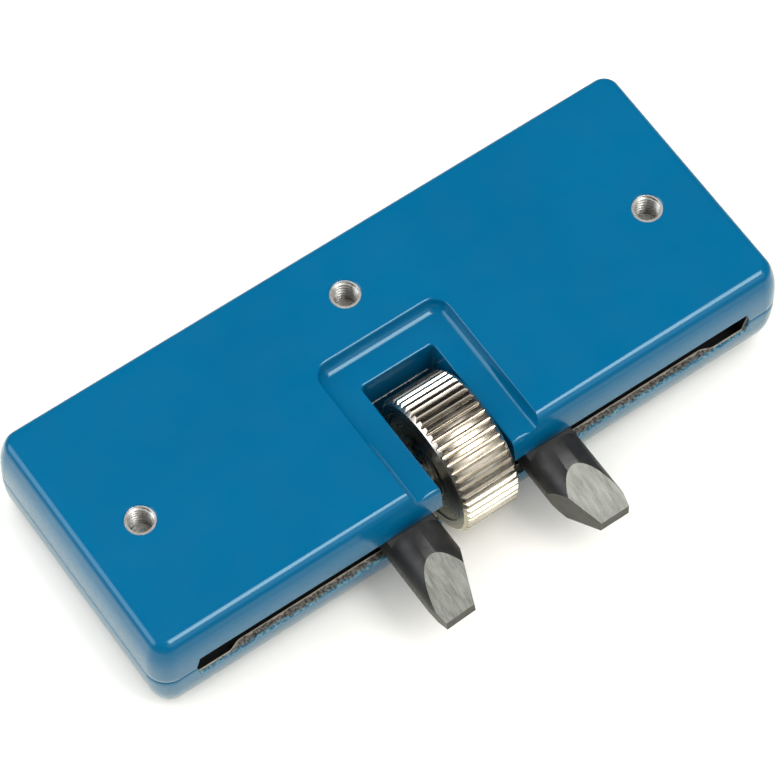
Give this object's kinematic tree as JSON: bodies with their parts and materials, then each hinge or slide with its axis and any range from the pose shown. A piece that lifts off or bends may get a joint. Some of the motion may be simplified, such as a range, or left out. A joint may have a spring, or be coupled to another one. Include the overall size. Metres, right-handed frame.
{
  "type": "watch case back opener",
  "caption": "Pocket wrench for screw-on watch case backs: a painted two-shell body holds a thumbwheel and leadscrew that spread or close ground steel pins.",
  "frame": {"origin": "plan centre of the body's flat bottom face, just behind the wheel window", "axes": "+X along the body towards the right pin, -Y towards the pin tips, +Z towards the face with the tapped holes"},
  "size_m": [0.0736, 0.0392, 0.0147],
  "materials": {
    "blue_paint": "gloss paint on die-cast metal",
    "zinc_steel": "zinc-plated steel",
    "nickel": "nickel plate over a cut knurl",
    "black_oxide": "black oxide on hardened steel, tips ground bare"
  },
  "bodies": {
    "housing": {"upper_shell": "blue_paint", "lower_shell": "blue_paint", "shell_screw_left": "zinc_steel", "shell_screw_right": "zinc_steel", "shell_screw_rear": "zinc_steel"},
    "wheel_and_screw": {"leadscrew": "zinc_steel", "thumbwheel": "nickel"},
    "left_pin": {"left_pin": "black_oxide"},
    "right_pin": {"right_pin": "black_oxide"}
  },
  "joints": [
    {"name": "thumbwheel_turn", "type": "hinge", "parent": "housing", "child": "wheel_and_screw", "pos_m": [0, -0.00941, 0.00605], "axis": [1, 0, 0], "range_deg": [-565, 10690]},
    {"name": "left_pin_slide", "type": "slide", "parent": "housing", "child": "left_pin", "axis": [-1, 0, 0], "range_m": [-0.0011, 0.0208]},
    {"name": "right_pin_slide", "type": "slide", "parent": "housing", "child": "right_pin", "axis": [1, 0, 0], "range_m": [-0.0011, 0.0208]}
  ],
  "couplings": [
    {"joint": "left_pin_slide", "follows": "thumbwheel_turn", "m_per_rad": 0.00011141},
    {"joint": "right_pin_slide", "follows": "thumbwheel_turn", "m_per_rad": 0.00011141}
  ]
}
